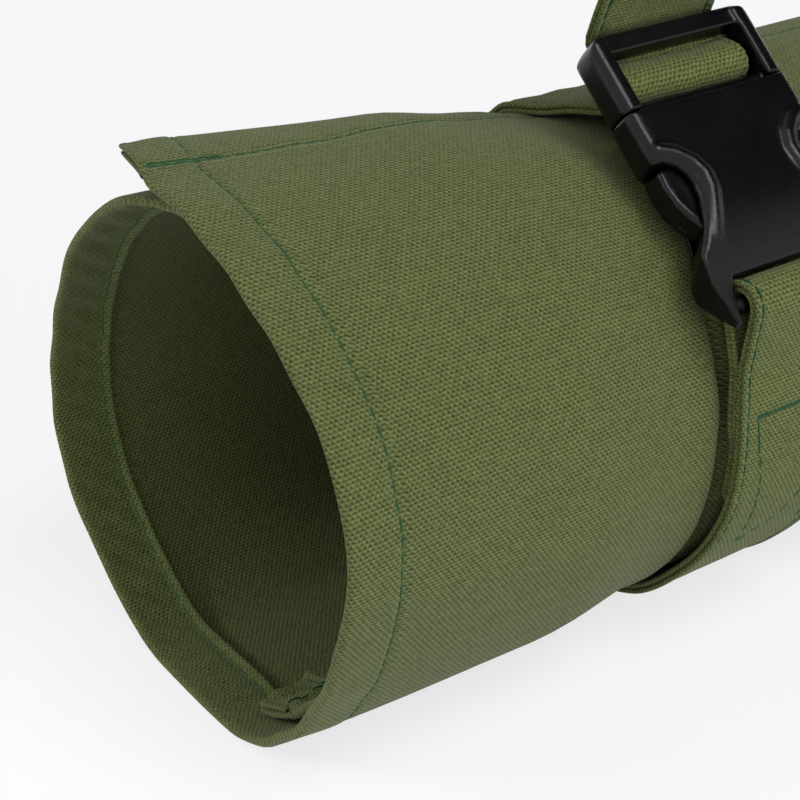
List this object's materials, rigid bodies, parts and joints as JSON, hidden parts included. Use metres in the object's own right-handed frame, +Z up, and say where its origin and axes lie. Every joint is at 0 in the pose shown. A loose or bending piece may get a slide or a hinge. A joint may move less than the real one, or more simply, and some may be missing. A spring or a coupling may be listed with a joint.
{
  "type": "carving tool roll",
  "caption": "Canvas roll for carving tools: one hemmed sheet wound into an open tube with a pocket panel inside, held by straps with side release buckles.",
  "frame": {"origin": "on the flat strip that the roll rests on, below the roll's axis and halfway along it", "axes": "+X along the roll from its open mouth to its foot, +Z up, -Y towards the side that carries the buckles"},
  "size_m": [0.3, 0.089, 0.1434],
  "materials": {
    "canvas": "matte plain weave cotton canvas, olive green",
    "strap_canvas": "matte plain weave canvas strip, folded and edge stitched",
    "thread": "polyester sewing thread, dark green",
    "black_plastic": "moulded black plastic with a fine matte grain"
  },
  "bodies": {
    "roll": {"panel": "canvas", "pocket_panel": "canvas", "mouth_hem": "canvas", "foot_hem": "canvas", "flap_hem": "canvas", "inner_hem": "canvas", "mouth_belt": "strap_canvas", "mouth_loop": "strap_canvas", "mouth_bartack": "thread", "mouth_receiver": "black_plastic", "foot_belt": "strap_canvas", "foot_loop": "strap_canvas", "foot_bartack": "thread", "foot_receiver": "black_plastic"},
    "mouth_insert": {"mouth_insert": "black_plastic", "mouth_top_strap": "strap_canvas"},
    "mouth_left_prong": {"mouth_left_prong": "black_plastic"},
    "mouth_right_prong": {"mouth_right_prong": "black_plastic"},
    "mouth_tail": {"mouth_tail": "strap_canvas"},
    "foot_insert": {"foot_insert": "black_plastic", "foot_top_strap": "strap_canvas"},
    "foot_left_prong": {"foot_left_prong": "black_plastic"},
    "foot_right_prong": {"foot_right_prong": "black_plastic"},
    "foot_tail": {"foot_tail": "strap_canvas"}
  },
  "joints": [
    {"name": "mouth_buckle_release", "type": "slide", "parent": "roll", "child": "mouth_insert", "axis": [0, 0.7547, 0.6561], "range_m": [0, 0.0235], "deforming": ["mouth_top_strap", "mouth_left_prong", "mouth_right_prong"]},
    {"name": "mouth_left_pinch", "type": "hinge", "parent": "mouth_insert", "child": "mouth_left_prong", "pos_m": [-0.0748, -0.0213, 0.0833], "axis": [0, -0.6561, 0.7547], "range_deg": [0, 15], "stiffness_Nm_per_rad": 0.02},
    {"name": "mouth_right_pinch", "type": "hinge", "parent": "mouth_insert", "child": "mouth_right_prong", "pos_m": [-0.0552, -0.0213, 0.0833], "axis": [0, 0.6561, -0.7547], "range_deg": [0, 15], "stiffness_Nm_per_rad": 0.02},
    {"name": "mouth_tail_swing", "type": "hinge", "parent": "mouth_insert", "child": "mouth_tail", "pos_m": [-0.065, -0.00708, 0.09499], "axis": [1, 0, 0], "range_deg": [-35, 30], "stiffness_Nm_per_rad": 0.004},
    {"name": "foot_buckle_release", "type": "slide", "parent": "roll", "child": "foot_insert", "axis": [0, 0.7547, 0.6561], "range_m": [0, 0.0235], "deforming": ["foot_top_strap", "foot_left_prong", "foot_right_prong"]},
    {"name": "foot_left_pinch", "type": "hinge", "parent": "foot_insert", "child": "foot_left_prong", "pos_m": [0.0552, -0.0213, 0.0833], "axis": [0, -0.6561, 0.7547], "range_deg": [0, 15], "stiffness_Nm_per_rad": 0.02},
    {"name": "foot_right_pinch", "type": "hinge", "parent": "foot_insert", "child": "foot_right_prong", "pos_m": [0.0748, -0.0213, 0.0833], "axis": [0, 0.6561, -0.7547], "range_deg": [0, 15], "stiffness_Nm_per_rad": 0.02},
    {"name": "foot_tail_swing", "type": "hinge", "parent": "foot_insert", "child": "foot_tail", "pos_m": [0.065, -0.00708, 0.09499], "axis": [1, 0, 0], "range_deg": [-35, 30], "stiffness_Nm_per_rad": 0.004}
  ],
  "couplings": [
    {"joint": "mouth_right_pinch", "follows": "mouth_left_pinch", "ratio": 1},
    {"joint": "foot_right_pinch", "follows": "foot_left_pinch", "ratio": 1}
  ]
}
